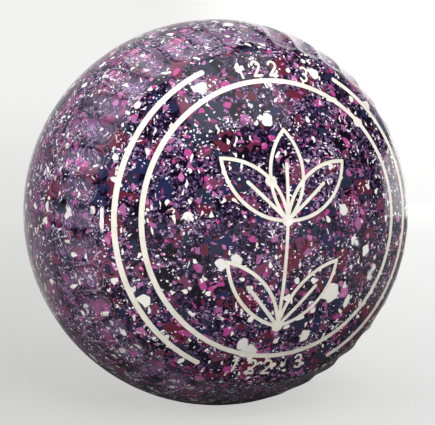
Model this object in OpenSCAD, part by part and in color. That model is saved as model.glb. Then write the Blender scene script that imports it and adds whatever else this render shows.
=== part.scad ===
// Lawn bowl: one solid moulded resin ball, slightly narrower than it is round, with
// engraved lines on its two domes and a band of finger scoops round each of them.
// The rolling axis lies along Y. The large-ring dome faces -Y and the bias dome +Y.
// The origin is the middle of the ball.

/* [Ball] */
// Running diameter, round the sole
bowl_d = 122; // [112:0.5:134]
// How far each dome's top lies inside the running radius
dome_inset = 8.5; // [5:0.1:11.5]
// Radius of the domed faces
dome_r = 81; // [70:0.5:100]
// Distance of the crown arc's centre from the rolling axis, large-ring side
crown_off_large = 2.5; // [0:0.1:4]
// The same on the bias side, which is a little fuller
crown_off_small = 1.2; // [0:0.1:4]
// Rounding between dome and crown
shoulder_r = 8; // [4:0.5:20]
// How far the rounding's circle laps over dome and crown
shoulder_lap = 0.01; // [0.01:0.01:0.05]

/* [Grip scoops] */
// Scoops round each dome
scoop_n = 40; // [24:1:42]
// Distance from the shoulder's corner to the deepest place of a scoop, along the crown
scoop_start = 6.9; // [6:0.1:10]
// Length of a scoop, from dome side to sole side
scoop_l = 20; // [14:0.5:24]
// Width of the ridge between two scoops at the dome end
scoop_ridge = 0.38; // [0.3:0.02:3]
// How much narrower a scoop is at its sole end
scoop_taper = 2.5; // [0:0.1:3.5]
// Radius of a scoop's hollow
scoop_r = 12; // [7:0.1:16]
// How much deeper the hollow is at its two round ends
scoop_end_extra = 0.05; // [0.02:0.01:0.2]
// Turn of the scoops round the axis
scoop_turn = 0.5; // [0:0.5:9]

/* [Engraved lines] */
// Width of the ring and arc lines
ring_line = 1.35; // [0.8:0.05:2]
// Width of the emblem's lines
emblem_line = 1; // [0.6:0.05:1.5]
// Width of the numbers' lines
number_line = 0.7; // [0.5:0.05:1]
// Extra width of a line's round ends, where the engraving cutter dwells
end_swell = 0.02; // [0.01:0.01:0.1]
// Depth of the engraving below the dome
groove_depth = 0.6; // [0.4:0.05:1.2]
// How far the enamel lies below the dome
enamel_sink = 0.05; // [0.02:0.01:0.2]
// Space between the enamel and the groove's sides
enamel_gap = 0.03; // [0.01:0.01:0.08]

/* [Rings] */
// Distance from the shoulder's corner to the broken ring, large-ring side
large_arc_inset = 2.55; // [2:0.05:6]
// The same on the bias side, whose rings are smaller
small_arc_inset = 12.4; // [8:0.1:16]
// Distance from the broken ring to the full ring inside it
ring_band = 6.5; // [6:0.1:9]
// Gap in the broken ring that holds the numbers, in degrees
arc_gap_angle = 54; // [44:1:80]
// Distance from the full ring to the emblem's foot, large-ring side
large_emblem_inset = 9; // [5:0.1:20]
// The same on the bias side
small_emblem_inset = 7.2; // [5:0.1:16]

/* [Numbers] */
// Height of a number
number_h = 4.8; // [3:0.1:5]
// Width of a number
number_w = 2.9; // [2:0.1:3.5]
// Distance from one number to the next
number_pitch = 5; // [4:0.1:6]

/* [Hidden] */

// Running diameter, then the bowl's size number, with a dot between them
NUMBERS = "122.3";
TOP = 90;
BOTTOM = 270;

ball_r = bowl_d / 2;
half_w = ball_r - dome_inset;
dome_c = dome_r - half_w;
round_fn = 180;
stroke_fn = 24;

function unit(v) = v / norm(v);
function polar(r, a) = [r * cos(a), r * sin(a)];

// ---- the ball's profile: x is the distance from the rolling axis, y along it ----

function crown_r(off) = ball_r - off;

// Where two circles cross, on the side away from the rolling axis
function circles_meet(c1, r1, c2, r2) =
    let (gap = norm(c2 - c1),
         along = (r1 * r1 - r2 * r2 + gap * gap) / (2 * gap),
         side = sqrt(r1 * r1 - along * along),
         u = unit(c2 - c1))
    c1 + along * u + side * [-u.y, u.x];

// Centre of the shoulder's rounding and the two points where it meets dome and crown
function shoulder_centre(off) =
    circles_meet([off, 0], crown_r(off) - shoulder_r, [0, -dome_c], dome_r - shoulder_r);
function shoulder_on_dome(off) =
    [0, -dome_c] + dome_r * unit(shoulder_centre(off) - [0, -dome_c]);
function shoulder_on_crown(off) =
    [off, 0] + crown_r(off) * unit(shoulder_centre(off) - [off, 0]);
// The sharp corner that the rounding replaces, and its angle about the crown's centre
function corner(off) = circles_meet([off, 0], crown_r(off), [0, -dome_c], dome_r);
function corner_angle(off) = atan2(corner(off).x - off, corner(off).y);

// The side of the line from p to q that lies away from the ball
module beyond(p, q) {
    translate(p)
        rotate(atan2(q.y - p.y, q.x - p.x))
            translate([-shoulder_r, 0])
                square([3 * shoulder_r, shoulder_r]);
}

module half_profile(off) {
    on_dome = shoulder_on_dome(off);
    on_crown = shoulder_on_crown(off);
    difference() {
        intersection() {
            translate([0, -dome_c])
                circle(dome_r, $fn = 2 * round_fn);
            translate([off, 0])
                circle(crown_r(off), $fn = 2 * round_fn);
            square(ball_r + 1);
        }
        beyond(on_dome, on_crown);
    }
    translate(shoulder_centre(off))
        circle(shoulder_r + shoulder_lap, $fn = 2 * round_fn);
}

large_arc_r = corner(crown_off_large).x - large_arc_inset;
large_ring_r = large_arc_r - ring_band;
small_arc_r = corner(crown_off_small).x - small_arc_inset;
small_ring_r = small_arc_r - ring_band;

// ---- the two sides: each is drawn with its dome towards +Z, +Y up and +X right ----

module large_side() {
    rotate([90, 0, 0])
        children();
}

module small_side() {
    rotate([90, 0, 180])
        children();
}

// The ball below the dome's surface by the given depth, dome side only
module under_dome(depth) {
    translate([0, 0, -dome_c])
        sphere(dome_r - depth, $fn = round_fn);
}

// A flat drawing cut into the dome down to the groove's depth
module engraved() {
    difference() {
        linear_extrude(ball_r)
            children();
        under_dome(groove_depth);
    }
}

// The same drawing filled with enamel
module enamelled() {
    color("ivory")
        intersection() {
            linear_extrude(ball_r)
                children();
            difference() {
                under_dome(enamel_sink);
                under_dome(groove_depth);
            }
        }
}

// ---- grip scoops: a bent round-ended bar, sunk into the crown ----

// Depth that a hollow needs for the given width on a ball of the crown's size
function scoop_depth(w) = w * w / 8 * (1 / scoop_r + 1 / ball_r);

// The bent bar, its foot at the axis
module scoop_bar(off) {
    crown = crown_r(off);
    deepest = corner_angle(off) + scoop_start / crown * 180 / PI;
    pitch = 2 * PI * (off + crown * sin(deepest)) / scoop_n;
    wide = pitch - scoop_ridge;
    narrow = wide - scoop_taper;
    deep = scoop_depth(wide);
    shallow = scoop_depth(narrow);
    // way along the crown from the deepest place to the middle of the sole end's round
    run = scoop_l - wide / 2 - narrow / 2;
    // radius of the bar's underside: flatter than the crown, so the scoop runs out
    floor_r = 1 / (1 / crown - 2 * (deep - shallow) / (run * run));
    sweep = run / floor_r * 180 / PI;
    centre = [off, 0] + (crown - deep - floor_r) * [sin(deepest), cos(deepest)];
    translate([centre.x, 0, centre.y])
        rotate([90, 0, 0])
            rotate([0, 0, 90 - deepest - sweep]) {
                rotate_extrude(angle = sweep, $fn = round_fn)
                    translate([floor_r + scoop_r, 0])
                        circle(scoop_r, $fn = 2 * stroke_fn);
                for (a = [0, sweep])
                    rotate([0, 0, a])
                        translate([floor_r + scoop_r, 0, 0])
                            sphere(scoop_r + scoop_end_extra, $fn = 2 * stroke_fn);
            }
}

// Each bar is kept inside its own share of the circle, which is wider than its hollow
module scoops(off) {
    share = 0.98 * 360 / scoop_n;
    for (i = [0 : scoop_n - 1])
        rotate([0, 0, scoop_turn + i * 360 / scoop_n])
            intersection() {
                scoop_bar(off);
                linear_extrude(ball_r)
                    polygon([[0, 0], polar(bowl_d, -share / 2), polar(bowl_d, share / 2)]);
            }
}

// ---- line work, drawn flat with lines of width t ----

module ring(r, t) {
    difference() {
        circle(r + t / 2, $fn = round_fn);
        circle(r - t / 2, $fn = round_fn);
    }
}

module dots(points, t) {
    for (p = points)
        translate(p)
            circle((t + end_swell) / 2, $fn = stroke_fn);
}

module bar(p, q, t) {
    translate(p)
        rotate(atan2(q.y - p.y, q.x - p.x))
            translate([0, -t / 2])
                square([norm(q - p), t]);
}

// Part of a ring from angle a to angle b
module arc(r, a, b, t) {
    step = (b - a) / 4;
    intersection() {
        ring(r, t);
        polygon(concat([[0, 0]], [for (i = [0 : 4]) polar(2 * r, a + i * step)]));
    }
}

module round_arc(r, a, b, t) {
    arc(r, a, b, t);
    dots([polar(r, a), polar(r, b)], t);
}

// Pointed leaf from the origin upwards, in outline, with a vein from its foot
module leaf(l, w, t) {
    r = (l * l + w * w) / (4 * w);
    vein = [0, 0.62 * l];
    translate([0, l / 2])
        difference() {
            lens(r + t / 2, r - w / 2);
            lens(r - t / 2, r - w / 2);
        }
    bar([0, 0], vein, t);
    dots([vein], t);
}

module lens(r, off) {
    intersection() {
        translate([off, 0])
            circle(r, $fn = round_fn);
        translate([-off, 0])
            circle(r, $fn = round_fn);
    }
}

// Plain garden flower: three petals, two leaves, and a stem as long as the given reach
module flower(reach, t) {
    l = 5 / 6 * reach;
    foot = [0, -reach];
    for (a = [-48, 0, 48])
        rotate(a)
            leaf(l, 0.4 * l, t);
    bar([0, 0], foot, t);
    for (a = [-42, 42])
        translate(foot)
            rotate(a)
                leaf(l, 0.32 * l, t);
    dots([[0, 0], foot], 3.2 * t);
}

module one(t) {
    h = (number_h - t) / 2;
    head = [0, h];
    flag = head - [1, 1] * number_w / 3;
    bar([0, -h], head, t);
    bar(flag, head, t);
    dots([[0, -h], head, flag], t);
}

module two(t) {
    r = (number_w - t) / 2;
    middle = [0, (number_h - number_w) / 2];
    heel = [-r, (t - number_h) / 2];
    toe = [r, heel.y];
    neck = middle + polar(r, -35);
    translate(middle)
        arc(r, -35, 165, t);
    bar(heel, neck, t);
    bar(heel, toe, t);
    dots([middle + polar(r, 165), neck, heel, toe], t);
}

module three(t) {
    r = (number_h - t) / 4;
    over = 10;
    translate([0, r])
        arc(r, -90 - over, 150, t);
    translate([0, -r])
        arc(r, -150, 90 + over, t);
    dots([[-r * sin(over), 0], [0, r] + polar(r, 150), [0, -r] + polar(r, -150)], t);
}

module number(digit, t) {
    if (digit == ".")
        dots([[0, 0]], 2 * t);
    if (digit == "1")
        one(t);
    if (digit == "2")
        two(t);
    if (digit == "3")
        three(t);
}

// The row of numbers, upright, in the broken ring's gap at the top or the bottom
module numbers(r, at, t) {
    turn = number_pitch / r * 180 / PI * (at == TOP ? -1 : 1);
    for (i = [0 : len(NUMBERS) - 1]) {
        a = at + (i - (len(NUMBERS) - 1) / 2) * turn;
        translate(polar(r, a))
            rotate(at == TOP ? a - 90 : a + 90)
                number(NUMBERS[i], t);
    }
}

// Room for the numbers lies between the full ring and just past the broken one
function number_r(ring_r) = ring_r + ring_line / 2 + ring_band / 12 + number_h / 2;

module large_ring(grow) {
    ring(large_ring_r, ring_line + grow);
}

module large_left_arc(grow) {
    round_arc(large_arc_r, TOP + arc_gap_angle / 2, BOTTOM - arc_gap_angle / 2, ring_line + grow);
}

module large_right_arc(grow) {
    mirror([1, 0])
        large_left_arc(grow);
}

module large_emblem(grow) {
    flower(large_ring_r - large_emblem_inset, emblem_line + grow);
}

module large_numbers(at, grow) {
    numbers(number_r(large_ring_r), at, number_line + grow);
}

module small_ring(grow) {
    ring(small_ring_r, ring_line + grow);
}

module small_left_arc(grow) {
    round_arc(small_arc_r, TOP + arc_gap_angle / 2, BOTTOM - arc_gap_angle / 2, ring_line + grow);
}

module small_right_arc(grow) {
    mirror([1, 0])
        small_left_arc(grow);
}

module small_emblem(grow) {
    flower(small_ring_r - small_emblem_inset, emblem_line + grow);
}

module small_numbers(at, grow) {
    numbers(number_r(small_ring_r), at, number_line + grow);
}

// ---- the pieces ----

module bowl_body() {
    room = 2 * enamel_gap;
    color([0.24, 0.15, 0.26])
        difference() {
            rotate([90, 0, 0])
                rotate_extrude($fn = round_fn) {
                    half_profile(crown_off_large);
                    mirror([0, 1])
                        half_profile(crown_off_small);
                }
            large_side() {
                scoops(crown_off_large);
                engraved() large_ring(room);
                engraved() large_left_arc(room);
                engraved() large_right_arc(room);
                engraved() large_emblem(room);
                engraved() large_numbers(TOP, room);
                engraved() large_numbers(BOTTOM, room);
            }
            small_side() {
                scoops(crown_off_small);
                engraved() small_ring(room);
                engraved() small_left_arc(room);
                engraved() small_right_arc(room);
                engraved() small_emblem(room);
                engraved() small_numbers(TOP, room);
                engraved() small_numbers(BOTTOM, room);
            }
        }
}

module large_ring_enamel() {
    large_side() enamelled() large_ring(0);
}

module large_left_arc_enamel() {
    large_side() enamelled() large_left_arc(0);
}

module large_right_arc_enamel() {
    large_side() enamelled() large_right_arc(0);
}

module large_emblem_enamel() {
    large_side() enamelled() large_emblem(0);
}

module large_top_number_enamel() {
    large_side() enamelled() large_numbers(TOP, 0);
}

module large_bottom_number_enamel() {
    large_side() enamelled() large_numbers(BOTTOM, 0);
}

module small_ring_enamel() {
    small_side() enamelled() small_ring(0);
}

module small_left_arc_enamel() {
    small_side() enamelled() small_left_arc(0);
}

module small_right_arc_enamel() {
    small_side() enamelled() small_right_arc(0);
}

module small_emblem_enamel() {
    small_side() enamelled() small_emblem(0);
}

module small_top_number_enamel() {
    small_side() enamelled() small_numbers(TOP, 0);
}

module small_bottom_number_enamel() {
    small_side() enamelled() small_numbers(BOTTOM, 0);
}

bowl_body();
large_ring_enamel();
large_left_arc_enamel();
large_right_arc_enamel();
large_emblem_enamel();
large_top_number_enamel();
large_bottom_number_enamel();
small_ring_enamel();
small_left_arc_enamel();
small_right_arc_enamel();
small_emblem_enamel();
small_top_number_enamel();
small_bottom_number_enamel();
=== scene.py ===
import math
import bpy
import numpy as np
from mathutils import Matrix, Vector


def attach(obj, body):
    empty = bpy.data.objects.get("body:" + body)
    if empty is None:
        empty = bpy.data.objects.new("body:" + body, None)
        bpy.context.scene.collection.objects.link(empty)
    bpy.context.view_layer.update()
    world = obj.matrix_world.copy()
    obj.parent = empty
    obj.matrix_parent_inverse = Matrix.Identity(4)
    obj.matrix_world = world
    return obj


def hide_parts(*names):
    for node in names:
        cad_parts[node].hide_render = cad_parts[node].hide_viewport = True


# Lawn bowl on a pale floor. The rolling axis lies along Y, the large-ring dome faces -Y.

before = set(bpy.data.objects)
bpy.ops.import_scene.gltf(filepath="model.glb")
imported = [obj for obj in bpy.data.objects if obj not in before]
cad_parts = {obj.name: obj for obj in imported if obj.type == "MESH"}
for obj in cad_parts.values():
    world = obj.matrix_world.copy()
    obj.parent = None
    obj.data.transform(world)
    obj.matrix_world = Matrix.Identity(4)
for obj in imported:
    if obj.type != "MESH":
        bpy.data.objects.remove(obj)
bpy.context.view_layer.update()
bpy.ops.object.select_all(action="DESELECT")
print("frame loaded,", len(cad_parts), "nodes")

mm = 0.001

cameraSet = {
    "place": (-0.1259, -0.3107, 0.0135),
    "right": (0.92655, -0.37581, 0.01641),
    "up": (0.0, 0.04361, 0.99905),
    "lens": 86.48,
}


def makeCamera():
    right = Vector(cameraSet["right"]).normalized()
    back = right.cross(Vector(cameraSet["up"])).normalized()
    up = back.cross(right)
    bpy.ops.object.camera_add()
    camera = bpy.context.object
    camera.name = "camera"
    camera.matrix_world = Matrix.Translation(Vector(cameraSet["place"])) @ Matrix(
        (right, up, back)).transposed().to_4x4()
    camera.data.lens = cameraSet["lens"]
    camera.data.sensor_width = 36.0
    camera.data.clip_start = 0.01
    bpy.context.scene.camera = camera
    bpy.ops.object.select_all(action="DESELECT")


makeCamera()
print("camera placed")


def startMaterial(name):
    material = bpy.data.materials.new(name)
    material.use_nodes = True
    tree = material.node_tree
    return material, tree, tree.nodes["Principled BSDF"]


def addNode(tree, kind, links=None, **settings):
    node = tree.nodes.new(kind)
    for key, value in settings.items():
        setattr(node, key, value)
    for key, value in (links or {}).items():
        if isinstance(value, bpy.types.NodeSocket):
            tree.links.new(value, node.inputs[key])
        else:
            node.inputs[key].default_value = value
    return node


def addMath(tree, operation, first, second=None, third=None):
    links = {0: first}
    if second is not None:
        links[1] = second
    if third is not None:
        links[2] = third
    return addNode(tree, "ShaderNodeMath", links, operation=operation).outputs[0]


def addRange(tree, value, low, high, toLow=0.0, toHigh=1.0, kind="SMOOTHSTEP"):
    return addNode(tree, "ShaderNodeMapRange", {
        "Value": value, "From Min": low, "From Max": high, "To Min": toLow, "To Max": toHigh,
    }, interpolation_type=kind).outputs[0]


def addMix(tree, factor, below, above):
    node = tree.nodes.new("ShaderNodeMix")
    node.data_type = "RGBA"
    for key, value in ((0, factor), (6, below), (7, above)):
        if isinstance(value, bpy.types.NodeSocket):
            tree.links.new(value, node.inputs[key])
        else:
            node.inputs[key].default_value = value
    return node.outputs[2]


def linearColour(red, green, blue):
    def one(value):
        value = value / 255.0
        return value / 12.92 if value <= 0.04045 else ((value + 0.055) / 1.055) ** 2.4
    return (one(red), one(green), one(blue), 1.0)


def addRamp(tree, value, stops, steps=True):
    ramp = addNode(tree, "ShaderNodeValToRGB", {"Fac": value})
    ramp.color_ramp.interpolation = "CONSTANT" if steps else "LINEAR"
    points = ramp.color_ramp.elements
    while len(points) < len(stops):
        points.new(0.5)
    for point, (place, colour) in zip(points, stops):
        point.position = place
        point.color = linearColour(*colour)
    return ramp.outputs["Color"]


def addNoise(tree, coords, scale, detail):
    return addNode(tree, "ShaderNodeTexNoise", {"Vector": coords, "Scale": scale,
                                                "Detail": detail}).outputs


def addShare(tree, mask, share, below, colour):
    return addMix(tree, addMath(tree, "MULTIPLY", mask, share), below, linearColour(*colour))


def addBump(tree, shader, height, strength, distance):
    bump = addNode(tree, "ShaderNodeBump", {"Height": height, "Strength": strength,
                                            "Distance": distance * mm})
    tree.links.new(bump.outputs["Normal"], shader.inputs["Normal"])


resinSet = {
    # fine matrix between the chips, from dark to pale
    "matrix": [(0.0, (13, 7, 24)), (0.34, (35, 23, 50)), (0.56, (63, 46, 77)),
               (0.76, (100, 78, 114)), (0.9, (143, 117, 152))],
    "patches": [(0.0, (92, 34, 52)), (0.24, (40, 43, 62)), (0.44, (15, 9, 24)),
                (0.66, (106, 54, 80)), (0.84, (33, 38, 72))],
    "chips": [(0.0, (172, 64, 132)), (0.17, (184, 106, 160)), (0.27, (96, 34, 56)),
              (0.44, (34, 38, 66)), (0.57, (156, 90, 142)), (0.7, (15, 9, 24)),
              (0.9, (128, 54, 100))],
    "cream": [(0.0, (236, 233, 224)), (0.6, (226, 222, 217))],
    "lilac": [(0.0, (238, 235, 240)), (0.55, (208, 197, 215))],
    "layers": [
        # size in mm, seed, share of cells, how far cells shrink, how far they reach from
        # their middle, colours, stretch, turn
        (6.5, 3.1, 0.34, 0.12, 0.8, "patches", (1, 1, 1), (0, 0, 0)),
        (3.6, 7.7, 0.34, 0.16, 0.7, "patches", (1, 1, 1), (0, 0, 0)),
        (3.6, 11.3, 0.2, 0.2, 0.46, "chips", (1, 1, 1), (0, 0, 0)),
        (2.3, 17.9, 0.36, 0.24, 0.48, "chips", (1, 1, 1), (0, 0, 0)),
        (1.3, 23.3, 0.26, 0.28, 0.5, "chips", (1, 1, 1), (0, 0, 0)),
        (7.5, 26.9, 0.035, 0.16, 0.42, "cream", (1, 1, 1), (0, 0, 0)),
        (4.6, 29.1, 0.06, 0.2, 0.44, "cream", (1, 1, 1), (0, 0, 0)),
        (2.8, 31.7, 0.09, 0.26, 0.46, "cream", (0.8, 1.3, 0.8), (0.4, 0.7, 0.2)),
        (1.6, 37.9, 0.08, 0.3, 0.5, "cream", (0.6, 0.7, 1.7), (0.9, 0.2, 0.5)),
    ],
    "flecks": [
        # size in mm, seed, stretch, turn; the share comes from how they crowd
        (0.9, 41.3, (0.7, 1.5, 0.8), (0.2, 0.1, 1.1)),
        (0.65, 43.7, (1.6, 0.7, 0.7), (1.1, 0.6, 0.1)),
    ],
    "chipEdge": 0.05,               # softness of a chip's edge, as a share of its cell
    # scale and detail of a noise, and the mm by which it moves the chips' edges: first
    # rough, then in slow bends
    "stray": [(900.0, 2.0, 0.45), (300.0, 1.0, 2.6)],
    "grainScale": 1900.0,
    # noises: scale and detail, and below each the part of it that is used
    "cloud": (110.0, 3.0),          # makes the matrix darker and paler
    "cloudSpan": (0.35, 0.65),
    "cloudDrift": (-0.24, 0.18),
    "pour": (45.0, 1.0),            # where the band's pinker stuff lies
    "pourSpan": (0.42, 0.58),
    "flock": (120.0, 2.0),          # where the pale flecks gather
    "flockSpan": (0.42, 0.66),
    "crowd": (0.01, 0.17),          # share of the cells that are flecks
    "fleckShrink": 0.26,
    "fleckReach": 0.6,
    "bandEdge": (0.037, 0.03),      # metres from the middle plane, where the band of scoops begins
    "bandPaintedVeil": 0.12,               # how much paler the matrix is in the band of scoops: a painted veil of reflection
    "bandTint": (148, 82, 136),     # pinker stuff in parts of the band of scoops
    "bandTintShare": 0.5,
    # depths in mm between which each part of a scoop begins or ends
    "hollowDepth": (0.1, 0.6),
    "paintedSheenLift": 0.06,             # how much paler the matrix is in a scoop: painted sheen
    "rimStart": (0.05, 0.12),
    "rimEnd": (0.3, 0.16),
    "hollowPaintedShade": (24, 14, 38),     # painted shade on the rim of a scoop
    "hollowPaintedShadeShare": 0.35,
    "dullPolishAndSheenDepth": (0.24, 0.62),
    "hollowPaintedSheen": (172, 150, 186),  # painted sheen in the middle of a scoop, for the haze of its duller polish
    "hollowPaintedSheenShare": 0.17,
    "hazeRoughness": 0.12,
    "ridgeStart": (0.03, 0.06),
    "ridgeEnd": (0.14, 0.08),
    "highlightBreakSpan": (0.4, 0.62),
    "ridgePaintedHighlight": (208, 192, 214),    # painted highlight along the scoops' ridges
    "ridgePaintedHighlightShare": 0.3,
    "wear": (90.0, 5.0),            # duller and brighter polish
    "wearSpan": (0.35, 0.7),
    "roughness": (0.06, 0.14),
    "peel": (420.0, 2.0),           # a trace of orange peel
    "peelStrength": 0.12,
    "peelHeight": 0.05,             # mm
    "ior": 1.37,
}


# chips: a share of the cells, shrunken and with rounded corners, each in one colour
def addChips(tree, coords, size, seed, share, shrink, reach, palette, stretch, turn):
    place = addNode(tree, "ShaderNodeMapping", {
        "Vector": coords, "Location": (seed, seed * 0.37, -seed * 0.71), "Rotation": turn,
        "Scale": tuple(1.0 / (size * mm * way) for way in stretch)}).outputs[0]
    cells = addNode(tree, "ShaderNodeTexVoronoi", {"Vector": place, "Scale": 1.0})
    edges = addNode(tree, "ShaderNodeTexVoronoi", {"Vector": place, "Scale": 1.0},
                    feature="DISTANCE_TO_EDGE")
    parts = addNode(tree, "ShaderNodeSeparateColor", {"Color": cells.outputs["Color"]})
    chosen = addMath(tree, "LESS_THAN", parts.outputs[0], share)
    inset = addMath(tree, "MULTIPLY", parts.outputs[1], shrink)
    inside = addMath(tree, "SUBTRACT", edges.outputs["Distance"], inset)
    corner = addMath(tree, "SUBTRACT", reach, cells.outputs["Distance"])
    inside = addMath(tree, "MINIMUM", inside, corner)
    edge = addRange(tree, inside, 0.0, resinSet["chipEdge"], kind="LINEAR")
    mask = addMath(tree, "MULTIPLY", chosen, edge)
    return mask, addRamp(tree, parts.outputs[2], palette)


def makeResin():
    material, tree, shader = startMaterial("speckledResin")
    coords = addNode(tree, "ShaderNodeTexCoord").outputs["Object"]

    # chips are broken pieces: straying coordinates roughen and bend their edges
    rough = coords
    for scale, detail, reach in resinSet["stray"]:
        stray = addNoise(tree, coords, scale, detail)["Color"]
        push = addNode(tree, "ShaderNodeVectorMath", {0: stray, 1: (0.5, 0.5, 0.5)},
                       operation="SUBTRACT").outputs[0]
        push = addNode(tree, "ShaderNodeVectorMath", {0: push, "Scale": reach * mm},
                       operation="SCALE").outputs[0]
        rough = addNode(tree, "ShaderNodeVectorMath", {0: rough, 1: push},
                        operation="ADD").outputs[0]

    # fine matrix, richer in mauve in some places
    fine = addNode(tree, "ShaderNodeTexVoronoi",
                   {"Vector": rough, "Scale": resinSet["grainScale"]}).outputs["Color"]
    grain = addNode(tree, "ShaderNodeSeparateColor", {"Color": fine}).outputs[0]
    cloud = addNoise(tree, coords, *resinSet["cloud"])["Fac"]
    drift = addRange(tree, cloud, *resinSet["cloudSpan"], *resinSet["cloudDrift"],
                     kind="LINEAR")
    # painted reflection: the matrix is paler in the band of scoops, as a veil
    along = addNode(tree, "ShaderNodeSeparateXYZ", {"Vector": coords}).outputs["Y"]
    band = addRange(tree, addMath(tree, "ABSOLUTE", along), *resinSet["bandEdge"])
    depth = addNode(tree, "ShaderNodeAttribute", attribute_name="scoop").outputs["Fac"]
    hollow = addRange(tree, depth, *resinSet["hollowDepth"])
    # painted veil of reflection: the band of scoops is made paler
    drift = addMath(tree, "MULTIPLY_ADD", band, resinSet["bandPaintedVeil"], drift)
    # painted sheen: the matrix is made paler inside the scoops
    drift = addMath(tree, "MULTIPLY_ADD", hollow, resinSet["paintedSheenLift"], drift)
    value = addMath(tree, "ADD", grain, drift)
    colour = addRamp(tree, value, resinSet["matrix"])
    pour = addNoise(tree, coords, *resinSet["pour"])["Fac"]
    tint = addMath(tree, "MULTIPLY", band, addRange(tree, pour, *resinSet["pourSpan"]))

    for size, seed, share, shrink, reach, palette, stretch, turn in resinSet["layers"]:
        mask, chip = addChips(tree, rough, size, seed, share, shrink, reach, resinSet[palette],
                              stretch, turn)
        if palette == "patches":
            chip = addShare(tree, tint, resinSet["bandTintShare"], chip, resinSet["bandTint"])
        colour = addMix(tree, mask, colour, chip)

    # fine pale flecks gather in some places and leave others dark
    flock = addNoise(tree, coords, *resinSet["flock"])["Fac"]
    crowd = addRange(tree, flock, *resinSet["flockSpan"], *resinSet["crowd"], kind="LINEAR")
    for size, seed, stretch, turn in resinSet["flecks"]:
        mask, chip = addChips(tree, rough, size, seed, crowd, resinSet["fleckShrink"],
                              resinSet["fleckReach"], resinSet["lilac"], stretch, turn)
        colour = addMix(tree, mask, colour, chip)

    # each scoop gets painted shade on its rim and a painted pale sheen in the middle
    rim = addMath(tree, "MULTIPLY", addRange(tree, depth, *resinSet["rimStart"]),
                  addRange(tree, depth, *resinSet["rimEnd"]))
    # painted shade: the rim of each scoop is darkened
    colour = addShare(tree, rim, resinSet["hollowPaintedShadeShare"], colour, resinSet["hollowPaintedShade"])
    # the middle of a scoop has a duller polish: rougher further down, and painted paler here
    # as a sheen
    dullPolishAndSheen = addRange(tree, depth, *resinSet["dullPolishAndSheenDepth"])
    colour = addShare(tree, dullPolishAndSheen, resinSet["hollowPaintedSheenShare"], colour, resinSet["hollowPaintedSheen"])

    # painted highlight: the scoops' ridges are a little paler here and there
    ridge = addMath(tree, "MULTIPLY", addRange(tree, depth, *resinSet["ridgeStart"]),
                    addRange(tree, depth, *resinSet["ridgeEnd"]))
    highlightBreaks = addRange(tree, flock, *resinSet["highlightBreakSpan"])
    ridge = addMath(tree, "MULTIPLY", ridge, highlightBreaks)
    # painted highlight on the ridges
    colour = addShare(tree, ridge, resinSet["ridgePaintedHighlightShare"], colour, resinSet["ridgePaintedHighlight"])
    tree.links.new(colour, shader.inputs["Base Color"])

    # polish: even gloss with faint wear and a trace of orange peel
    wear = addNoise(tree, coords, *resinSet["wear"])["Fac"]
    polish = addRange(tree, wear, *resinSet["wearSpan"], *resinSet["roughness"],
                      kind="LINEAR")
    polish = addMath(tree, "MULTIPLY_ADD", dullPolishAndSheen, resinSet["hazeRoughness"], polish)
    tree.links.new(polish, shader.inputs["Roughness"])
    peel = addNoise(tree, coords, *resinSet["peel"])["Fac"]
    addBump(tree, shader, peel, resinSet["peelStrength"], resinSet["peelHeight"])
    shader.inputs["IOR"].default_value = resinSet["ior"]
    return material


enamelSet = {
    "pale": (232, 229, 216),
    "dull": (216, 211, 196),
    "mottle": (260.0, 4.0),         # scale and detail
    "mottleSpan": (0.3, 0.6),
    "brush": (900.0, 3.0),
    "brushSpan": (0.3, 0.7),
    "roughness": (0.3, 0.5),
    "brushStrength": 0.3,
    "brushHeight": 0.04,            # mm
}


def makeEnamel():
    material, tree, shader = startMaterial("creamEnamel")
    coords = addNode(tree, "ShaderNodeTexCoord").outputs["Object"]
    mottle = addNoise(tree, coords, *enamelSet["mottle"])["Fac"]
    low, high = enamelSet["mottleSpan"]
    colour = addRamp(tree, mottle, [(low, enamelSet["dull"]), (high, enamelSet["pale"])],
                     steps=False)
    tree.links.new(colour, shader.inputs["Base Color"])
    brush = addNoise(tree, coords, *enamelSet["brush"])["Fac"]
    polish = addRange(tree, brush, *enamelSet["brushSpan"], *enamelSet["roughness"],
                      kind="LINEAR")
    tree.links.new(polish, shader.inputs["Roughness"])
    addBump(tree, shader, brush, enamelSet["brushStrength"], enamelSet["brushHeight"])
    return material


resin = makeResin()
enamel = makeEnamel()
print("materials made")

for nodeName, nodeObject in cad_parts.items():
    if nodeName.endswith("_enamel"):
        nodeObject.data.materials.clear()
        nodeObject.data.materials.append(enamel)
print("enamel set on the lines, emblems and numbers")

ballSet = {
    "runningRadius": 61.0,
    "halfWidth": 52.5,
    "domeRadius": 81.0,
    "shoulder": 8.0,
    "crownOff": (2.5, 1.2),         # large-ring side, bias side
    "scoops": 40,
    "scoopTurn": 0.5,
    "scoopStart": 6.9,
    "scoopLength": 20.0,
    "scoopRidge": 0.38,
    "scoopTaper": 2.5,
    "scoopHollow": 12.0,
    "edgeSoftness": 0.14,           # how far the polished edges of a scoop are rounded
    "leastDip": 0.02,               # share of that softness below which nothing is pressed
    "bandMargin": 1.2,              # mm of close rows past a scoop's end
    "rowsDome": 18,
    "rowsShoulder": 9,
    "rowsBand": 40,
    "rowsSole": 5,
    # columns of one scoop, from ridge to ridge, closer together at the ridges
    "columns": (-1.0, -0.95, -0.88, -0.77, -0.58, -0.3, 0.0, 0.3, 0.58, 0.77, 0.88, 0.95),
}


def circlesMeet(first, firstRadius, second, secondRadius):
    apart = np.linalg.norm(second - first)
    along = (firstRadius ** 2 - secondRadius ** 2 + apart ** 2) / (2 * apart)
    side = math.sqrt(firstRadius ** 2 - along ** 2)
    way = (second - first) / apart
    return first + along * way + side * np.array([-way[1], way[0]])


def arcPoints(centre, radius, angles):
    return [centre + radius * np.array([math.sin(a), math.cos(a)]) for a in angles]


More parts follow.
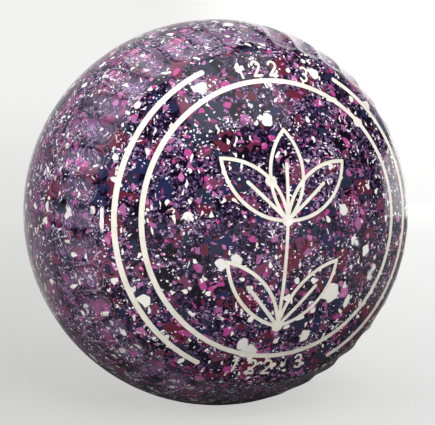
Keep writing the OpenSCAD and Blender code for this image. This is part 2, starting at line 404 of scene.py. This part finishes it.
# one side's rows from the dome's top to the sole, with the facts its scoops need
def sideShape(off):
    crown = ballSet["runningRadius"] - off
    shoulder = ballSet["shoulder"]
    dome = ballSet["domeRadius"]
    crownCentre = np.array([off, 0.0])
    domeCentre = np.array([0.0, ballSet["halfWidth"] - dome])
    roundCentre = circlesMeet(crownCentre, crown - shoulder, domeCentre, dome - shoulder)
    corner = circlesMeet(crownCentre, crown, domeCentre, dome)
    toDome = roundCentre - domeCentre
    toCrown = roundCentre - crownCentre
    domeEnd = math.atan2(toDome[0], toDome[1])
    crownStart = math.atan2(toCrown[0], toCrown[1])
    deepest = math.atan2(corner[0] - off, corner[1]) + ballSet["scoopStart"] / crown
    pitch = 2 * math.pi * (off + crown * math.sin(deepest)) / ballSet["scoops"]
    wide = pitch - ballSet["scoopRidge"]
    narrow = wide - ballSet["scoopTaper"]
    run = ballSet["scoopLength"] - wide / 2 - narrow / 2
    bandEnd = deepest + (run + narrow / 2 + ballSet["bandMargin"]) / crown
    rows = arcPoints(domeCentre, dome, np.linspace(0, domeEnd, ballSet["rowsDome"] + 1))
    rows += arcPoints(roundCentre, shoulder,
                      np.linspace(domeEnd, crownStart, ballSet["rowsShoulder"] + 1)[1:])
    rows += arcPoints(crownCentre, crown,
                      np.linspace(crownStart, bandEnd, ballSet["rowsBand"] + 1)[1:])
    rows += arcPoints(crownCentre, crown,
                      np.linspace(bandEnd, math.pi / 2, ballSet["rowsSole"] + 1)[1:])
    return {"rows": np.array(rows), "off": off, "crown": crown, "deepest": deepest,
            "wide": wide, "narrow": narrow, "run": run}


# moves profile points (radius, height) towards the crown's centre where a scoop lies
def pressScoops(side, points, fromCentre):
    off, crown = side["off"], side["crown"]
    curve = 1 / ballSet["scoopHollow"] + 1 / ballSet["runningRadius"]
    deep = side["wide"] ** 2 / 8 * curve
    shallow = side["narrow"] ** 2 / 8 * curve
    outward = points - np.array([off, 0.0])
    reach = np.linalg.norm(outward, axis=-1)
    along = (np.arctan2(outward[..., 0], outward[..., 1]) - side["deepest"]) * crown
    floor = np.clip(along, 0, side["run"])
    depth = deep + (shallow - deep) * (floor / side["run"]) ** 2
    across = points[..., 0] * np.sin(fromCentre)
    depth = depth - (across ** 2 + (along - floor) ** 2) * curve / 2
    dip = depth - (crown - reach)
    soft = ballSet["edgeSoftness"]
    dip = 0.5 * (dip + np.sqrt(dip ** 2 + soft ** 2))
    dip = np.where(dip < soft * ballSet["leastDip"], 0.0, dip)
    return points - outward / reach[..., None] * dip[..., None], dip


def makeBall():
    large, small = (sideShape(off) for off in ballSet["crownOff"])
    half = len(large["rows"]) - 1
    perScoop = len(ballSet["columns"])
    columnCount = perScoop * ballSet["scoops"]
    rowCount = 2 * half

    # angle of each column about the axis, and its angle from the middle of its scoop
    share = math.pi / ballSet["scoops"]
    fromCentre = np.tile(np.array(ballSet["columns"]) * share, ballSet["scoops"])
    middle = np.repeat(np.arange(ballSet["scoops"]) * 2 * share, perScoop)
    turn = math.radians(ballSet["scoopTurn"])

    shape = np.zeros((rowCount + 1, columnCount, 3))
    hollow = np.zeros((rowCount + 1, columnCount))
    for side, sign in ((large, -1), (small, 1)):
        rows = np.repeat(side["rows"][:, None, :], columnCount, axis=1)
        rows, dip = pressScoops(side, rows, fromCentre[None, :])
        # the two sides' scoops are out of step, so the columns slew over the sole
        soleStart = half - ballSet["rowsSole"]
        slew = np.clip((half - np.arange(half + 1)) / (half - soleStart), 0, 1)
        angle = (middle + fromCentre)[None, :] - sign * turn * slew[:, None]
        index = np.arange(half + 1) if sign < 0 else rowCount - np.arange(half + 1)
        shape[index, :, 0] = rows[..., 0] * np.cos(angle)
        shape[index, :, 1] = rows[..., 1] * sign
        shape[index, :, 2] = rows[..., 0] * np.sin(angle)
        hollow[index] = dip

    radius = ballSet["runningRadius"] * mm
    bpy.ops.mesh.primitive_uv_sphere_add(segments=columnCount, ring_count=rowCount,
                                         radius=radius, rotation=(math.pi / 2, 0, 0))
    ball = bpy.context.object
    ball.name = "resinBall"
    bpy.ops.object.transform_apply(location=True, rotation=True, scale=True)
    mesh = ball.data
    co = np.zeros(len(mesh.vertices) * 3)
    mesh.vertices.foreach_get("co", co)
    co = co.reshape(-1, 3) / radius
    row = np.rint(np.arccos(np.clip(-co[:, 1], -1, 1)) / math.pi * rowCount).astype(int)
    column = np.rint(np.arctan2(co[:, 2], co[:, 0]) / (2 * math.pi) * columnCount).astype(int)
    column %= columnCount
    mesh.vertices.foreach_set("co", (shape[row, column] * mm).ravel())
    mark = mesh.attributes.new("scoop", "FLOAT", "POINT")
    mark.data.foreach_set("value", hollow[row, column])
    mesh.update()
    bpy.ops.object.select_all(action="DESELECT")
    return ball


ball = makeBall()
print("ball pressed,", len(ball.data.polygons), "faces")

# the grooves are cut with the line work's own outline, a hair wider and open at the top
grooveSet = {
    "clearance": 0.03,
    "lift": 0.4,
    "weld": 0.002,                  # mm within which the copies' points are one
    "facing": 0.5,                  # least outward part of a top face's normal
    "smoothAngle": 40.0,
}


def makeGrooveTool(sideName, sign):
    copies = []
    for nodeName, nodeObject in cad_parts.items():
        if nodeName.startswith(sideName) and nodeName.endswith("_enamel"):
            copyObject = bpy.data.objects.new("groove_" + nodeName, nodeObject.data.copy())
            bpy.context.collection.objects.link(copyObject)
            copies.append(copyObject)
    bpy.ops.object.select_all(action="DESELECT")
    for copyObject in copies:
        copyObject.select_set(True)
    bpy.context.view_layer.objects.active = copies[0]
    bpy.ops.object.join()
    tool = bpy.context.object
    bpy.ops.mesh.customdata_custom_splitnormals_clear()
    bpy.ops.object.mode_set(mode="EDIT")
    bpy.ops.mesh.select_all(action="SELECT")
    bpy.ops.mesh.remove_doubles(threshold=grooveSet["weld"] * mm)
    bpy.ops.transform.shrink_fatten(value=grooveSet["clearance"] * mm, use_even_offset=True)
    bpy.ops.mesh.select_all(action="DESELECT")
    bpy.ops.object.mode_set(mode="OBJECT")
    for face in tool.data.polygons:
        face.select = face.normal.y * sign > grooveSet["facing"]
    bpy.ops.object.mode_set(mode="EDIT")
    bpy.ops.transform.translate(value=(0, sign * grooveSet["lift"] * mm, 0))
    bpy.ops.object.mode_set(mode="OBJECT")
    bpy.ops.object.select_all(action="DESELECT")
    return tool


def cutGrooves(target):
    for sideName, sign in (("large", -1), ("small", 1)):
        tool = makeGrooveTool(sideName, sign)
        bpy.context.view_layer.objects.active = target
        target.select_set(True)
        cut = target.modifiers.new("grooves", "BOOLEAN")
        cut.operation = "DIFFERENCE"
        cut.solver = "MANIFOLD"
        cut.object = tool
        bpy.ops.object.modifier_apply(modifier=cut.name)
        bpy.data.objects.remove(tool)
        print("grooves cut on the", sideName, "side,", len(target.data.polygons), "faces")


cutGrooves(ball)
ball.data.materials.clear()
ball.data.materials.append(resin)
bpy.ops.object.select_all(action="DESELECT")
ball.select_set(True)
bpy.context.view_layer.objects.active = ball
bpy.ops.object.shade_smooth_by_angle(angle=math.radians(grooveSet["smoothAngle"]))
bpy.ops.object.select_all(action="DESELECT")
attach(ball, "root")
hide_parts("bowl_body")
print("ball finished")

stageSet = {
    "floor": -0.061,
    "near": -1.6,
    "far": 1.9,
    "width": 4.0,
    "height": 2.4,
    "bend": 0.6,
    "bendSegments": 24,
    "edgeSlack": 0.001,
    "paper": (110, 110, 109),       # what the lamps light
    "mottle": (3.0, 2.0),           # scale and detail
    "mottleSpan": (0.3, 0.7),
    "mottleStep": 3,
    "roughness": 0.9,
    "tint": 0.99,                   # how blue the glow is beside its red and green
    # how pale the paper looks, by distance behind the bowl
    "glowReach": (-0.16, 1.2),
    "glow": [(0.0, 0.42), (0.14, 0.43), (0.45, 0.56), (0.75, 0.64), (1.0, 0.7)],
    "across": (0.927, -0.375),      # which way is right
    # where it changes and by how much: more on the right, less left of the picture and a
    # little more up the wall
    "glowRight": (-0.15, 0.15, 0.0, 0.23),
    "glowLeft": (-0.55, -1.2, 0.0, -0.28),
    "glowUp": (0.2, 0.0, 0.12),     # from the floor to this height
    # the gloss sees less of the glow, and none near the point under the bowl: a painted shadow
    # in the reflections
    "paintedShadowReach": (0.078, 0.15),
    "inGloss": 0.7,
}


def makeStage():
    depth = stageSet["far"] - stageSet["near"]
    bpy.ops.mesh.primitive_plane_add(size=1.0, location=(0, 0, stageSet["floor"]))
    sweep = bpy.context.object
    sweep.name = "sweep"
    sweep.scale = (stageSet["width"], depth, 1)
    sweep.location.y = (stageSet["near"] + stageSet["far"]) / 2
    bpy.ops.object.transform_apply(location=True, rotation=True, scale=True)
    farEdge = stageSet["far"] - stageSet["edgeSlack"]
    floorTop = stageSet["floor"] + stageSet["edgeSlack"]
    for edge in sweep.data.edges:
        ends = [sweep.data.vertices[i].co.y for i in edge.vertices]
        edge.select = min(ends) > farEdge
    for vertex in sweep.data.vertices:
        vertex.select = vertex.co.y > farEdge
    for face in sweep.data.polygons:
        face.select = False
    bpy.ops.object.mode_set(mode="EDIT")
    bpy.ops.mesh.extrude_region_move(
        TRANSFORM_OT_translate={"value": (0, 0, stageSet["height"])})
    bpy.ops.object.mode_set(mode="OBJECT")
    for edge in sweep.data.edges:
        ends = [sweep.data.vertices[i].co for i in edge.vertices]
        edge.select = all(end.y > farEdge and end.z < floorTop for end in ends)
    bpy.ops.object.mode_set(mode="EDIT")
    bpy.ops.mesh.select_mode(type="EDGE")
    bpy.ops.mesh.bevel(offset=stageSet["bend"], segments=stageSet["bendSegments"],
                       affect="EDGES")
    bpy.ops.object.mode_set(mode="OBJECT")
    bpy.ops.object.shade_smooth()
    material, tree, shader = startMaterial("palePaper")
    coords = addNode(tree, "ShaderNodeTexCoord").outputs["Object"]
    mottle = addNoise(tree, coords, *stageSet["mottle"])["Fac"]
    pale = stageSet["paper"]
    dull = tuple(part - stageSet["mottleStep"] for part in pale)
    low, high = stageSet["mottleSpan"]
    colour = addRamp(tree, mottle, [(low, dull), (high, pale)], steps=False)
    tree.links.new(colour, shader.inputs["Base Color"])
    shader.inputs["Roughness"].default_value = stageSet["roughness"]
    shader.inputs["Specular IOR Level"].default_value = 0.0
    # the paper glows to the eye and in the gloss, but lights nothing by it
    place = addNode(tree, "ShaderNodeSeparateXYZ", {"Vector": coords})
    away = addRange(tree, place.outputs["Y"], *stageSet["glowReach"], kind="LINEAR")
    glow = addNode(tree, "ShaderNodeValToRGB", {"Fac": away})
    points = glow.color_ramp.elements
    while len(points) < len(stageSet["glow"]):
        points.new(0.5)
    for point, (where, level) in zip(points, stageSet["glow"]):
        point.position = where
        point.color = (level, level, level * stageSet["tint"], 1.0)
    rightX, rightY = stageSet["across"]
    across = addMath(tree, "MULTIPLY", place.outputs["X"], rightX)
    across = addMath(tree, "MULTIPLY_ADD", place.outputs["Y"], rightY, across)
    left = addRange(tree, across, *stageSet["glowLeft"])
    right = addRange(tree, across, *stageSet["glowRight"])
    sides = addMath(tree, "ADD", left, right)
    up = addRange(tree, place.outputs["Z"], stageSet["floor"], *stageSet["glowUp"])
    sides = addMath(tree, "ADD", sides, up)
    total = addNode(tree, "ShaderNodeMix", {0: 1.0, 6: glow.outputs["Color"], 7: sides},
                    data_type="RGBA", blend_type="ADD")
    tree.links.new(total.outputs[2], shader.inputs["Emission Color"])
    rays = addNode(tree, "ShaderNodeLightPath")
    offset = addNode(tree, "ShaderNodeVectorMath", {0: coords, 1: (0, 0, stageSet["floor"])},
                     operation="SUBTRACT").outputs[0]
    reach = addNode(tree, "ShaderNodeVectorMath", {0: offset},
                    operation="LENGTH").outputs["Value"]
    # painted shadow: in the gloss the glow fades to nothing near the point under the bowl
    shade = addRange(tree, reach, *stageSet["paintedShadowReach"], 0.0, stageSet["inGloss"])
    gloss = addMath(tree, "MULTIPLY", rays.outputs["Is Glossy Ray"], shade)
    seen = addMath(tree, "MAXIMUM", rays.outputs["Is Camera Ray"], gloss)
    seen = addMath(tree, "MAXIMUM", seen, rays.outputs["Is Transmission Ray"])
    tree.links.new(seen, shader.inputs["Emission Strength"])
    sweep.data.materials.append(material)
    bpy.ops.object.select_all(action="DESELECT")


makeStage()
print("stage made")

lampSet = {
    # place, width and height, power, whether it shows in the gloss, whether it lights things
    "topLamp": ((-0.2, 0.3, 1.0), (0.7, 0.7), 2.7, True, True),
    "frontTopSheet": ((0.1, -0.6, 1.05), (1.0, 1.0), 6.5, True, True),
    "fillLamp": ((-0.05, -1.0, 0.6), (0.7, 0.7), 12.2, False, True),
    "leftSheet": ((-1.0, 0.4, 0.72), (1.0, 0.9), 2.9, True, True),
    "leftFill": ((-1.5, -0.4, 0.5), (0.9, 0.8), 15.0, False, True),
    "leftStrip": ((-0.42, -0.11, -0.02), (0.11, 0.07), 0.9, True, False),
    "rightSheet": ((1.3, 0.9, 0.3), (1.8, 1.1), 4.0, True, True),
    "rightEdge": ((1.5, 0.4, 0.08), (1.3, 0.66), 8.5, True, False),
}
roomLevel = 0.06                    # what the room lights with
roomSeen = 0.72                     # what the eye sees past the paper's edge


def makeLamps():
    for name, (place, (width, height), power, inGloss, lights) in lampSet.items():
        bpy.ops.object.light_add(type="AREA", location=place)
        lamp = bpy.context.object
        lamp.name = name
        lamp.data.shape = "RECTANGLE"
        lamp.data.size = width
        lamp.data.size_y = height
        lamp.data.energy = power
        lamp.rotation_euler = (-Vector(place)).to_track_quat("-Z", "Y").to_euler()
        lamp.visible_camera = False
        lamp.visible_glossy = inGloss
        lamp.visible_diffuse = lights
    bpy.ops.object.select_all(action="DESELECT")
    world = bpy.data.worlds.new("softRoom")
    bpy.context.scene.world = world
    world.use_nodes = True
    ground = world.node_tree.nodes["Background"]
    ground.inputs["Color"].default_value = (1.0, 1.0, 1.0, 1.0)
    rays = addNode(world.node_tree, "ShaderNodeLightPath")
    seen = addMath(world.node_tree, "MAXIMUM", rays.outputs["Is Camera Ray"],
                   rays.outputs["Is Transmission Ray"])
    level = addRange(world.node_tree, seen, 0.0, 1.0, roomLevel, roomSeen, kind="LINEAR")
    world.node_tree.links.new(level, ground.inputs["Strength"])


makeLamps()
bpy.context.scene.view_settings.view_transform = "Standard"
print("lamps and world made")
